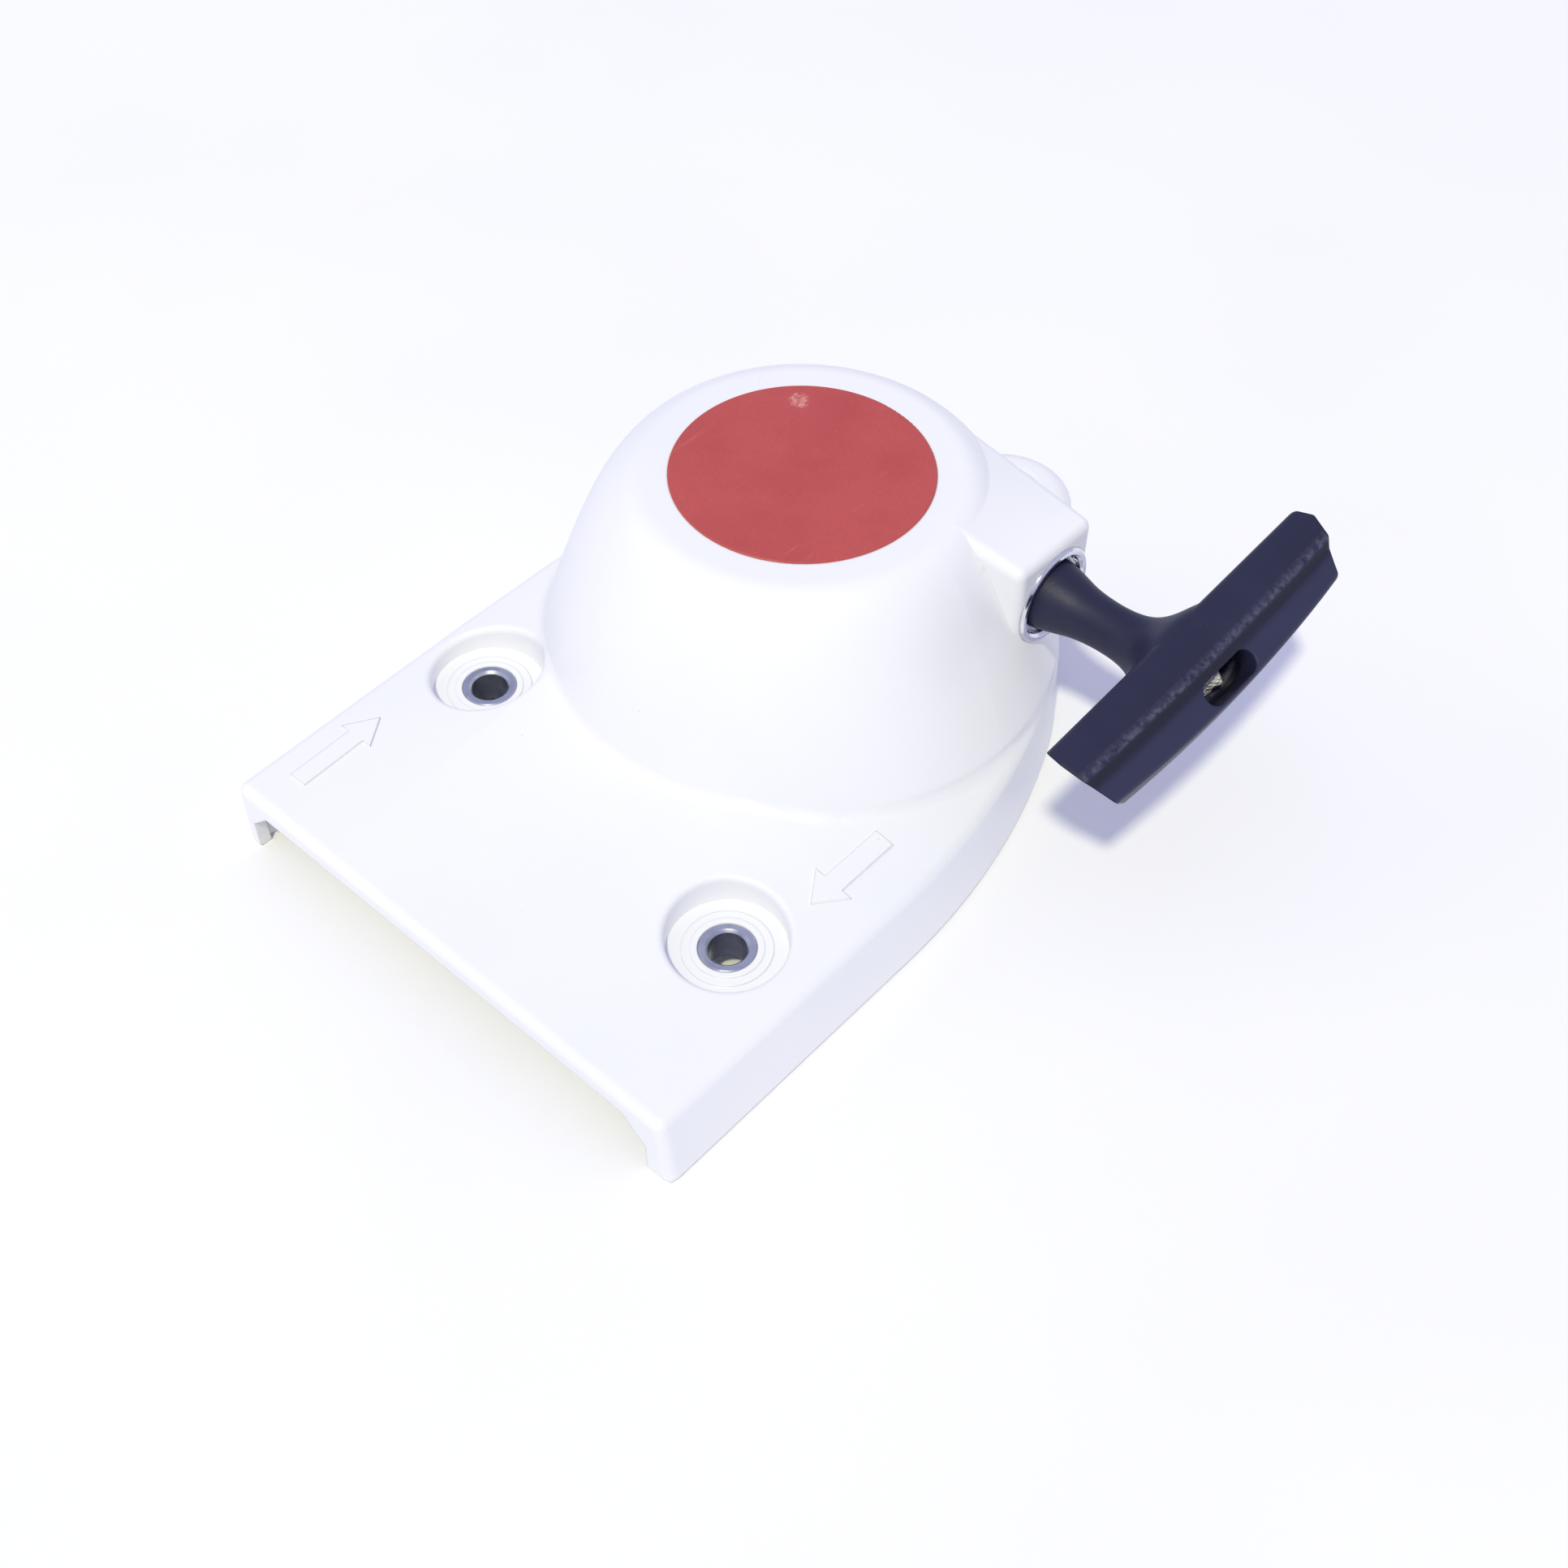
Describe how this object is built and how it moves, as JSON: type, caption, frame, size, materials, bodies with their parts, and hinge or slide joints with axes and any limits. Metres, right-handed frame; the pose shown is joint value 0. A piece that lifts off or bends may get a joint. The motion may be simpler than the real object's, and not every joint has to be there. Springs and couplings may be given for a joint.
{
  "type": "recoil starter",
  "caption": "Rewind rope starter for a small engine: moulded cover with a domed rotor housing, side rope outlet with steel eyelet and a black T-shaped pull grip.",
  "frame": {"origin": "on the rotor's axis, in the plane of the cover's rim", "axes": "+Z out of the dome's top along the rotor's axis, +X the way the rope is pulled, -Y towards the cover's open front edge"},
  "size_m": [0.1367, 0.1656, 0.0581],
  "materials": {
    "cover_plastic": "smooth semi-gloss white moulding",
    "badge_print": "satin brick-red disc",
    "ferrule_steel": "polished rolled eyelet",
    "sleeve_steel": "zinc-plated turned sleeve",
    "axle_steel": "turned steel",
    "clip_steel": "spring steel",
    "spring_steel": "blued spring strip",
    "case_polymer": "black moulded polymer",
    "rotor_polymer": "glass-filled moulded polymer",
    "pawl_polymer": "natural moulded polymer",
    "rope_fibre": "white braided cord",
    "grip_polymer": "fine-grained blue-black moulding"
  },
  "bodies": {
    "cover": {"starter_cover": "cover_plastic", "badge_disc": "badge_print", "rope_ferrule": "ferrule_steel", "rotor_axle": "axle_steel", "spring_case": "case_polymer", "rewind_spring": "spring_steel", "axle_washer": "axle_steel", "e_clip": "clip_steel", "sleeve_front": "sleeve_steel", "sleeve_left": "sleeve_steel", "sleeve_rear": "sleeve_steel"},
    "rotor": {"rope_rotor": "rotor_polymer", "rope_winding": "rope_fibre"},
    "drag_clip": {"pawl_clip": "clip_steel"},
    "pawl": {"pawl": "pawl_polymer"},
    "rope": {"rope_run": "rope_fibre", "rope_knot": "rope_fibre"},
    "grip": {"starter_grip": "grip_polymer"}
  },
  "joints": [
    {"name": "handle_pull", "type": "slide", "parent": "cover", "child": "rope", "axis": [1, 0, 0], "range_m": [0, 0.72], "stiffness_N_per_m": 12, "springref_m": -0.7, "deforming": ["rope_run"]},
    {"name": "grip_twist", "type": "hinge", "parent": "rope", "child": "grip", "pos_m": [0.06, 0.0203, 0.0407], "axis": [1, 0, 0], "range_deg": [-90, 90]},
    {"name": "rotor_spin", "type": "hinge", "parent": "cover", "child": "rotor", "pos_m": [0, 0, 0.04], "axis": [0, 0, 1], "range_deg": [-2360, 0], "deforming": ["rewind_spring"]},
    {"name": "clip_drag", "type": "hinge", "parent": "rotor", "child": "drag_clip", "pos_m": [0, 0, 0.0276], "axis": [0, 0, 1], "range_deg": [0, 7.9]},
    {"name": "pawl_swing", "type": "hinge", "parent": "rotor", "child": "pawl", "pos_m": [0.015, 0, 0.031], "axis": [0, 0, 1], "range_deg": [0, 25]}
  ],
  "couplings": [
    {"joint": "rotor_spin", "follows": "handle_pull", "rad_per_m": -57.143},
    {"joint": "pawl_swing", "follows": "clip_drag", "ratio": 3.16}
  ]
}
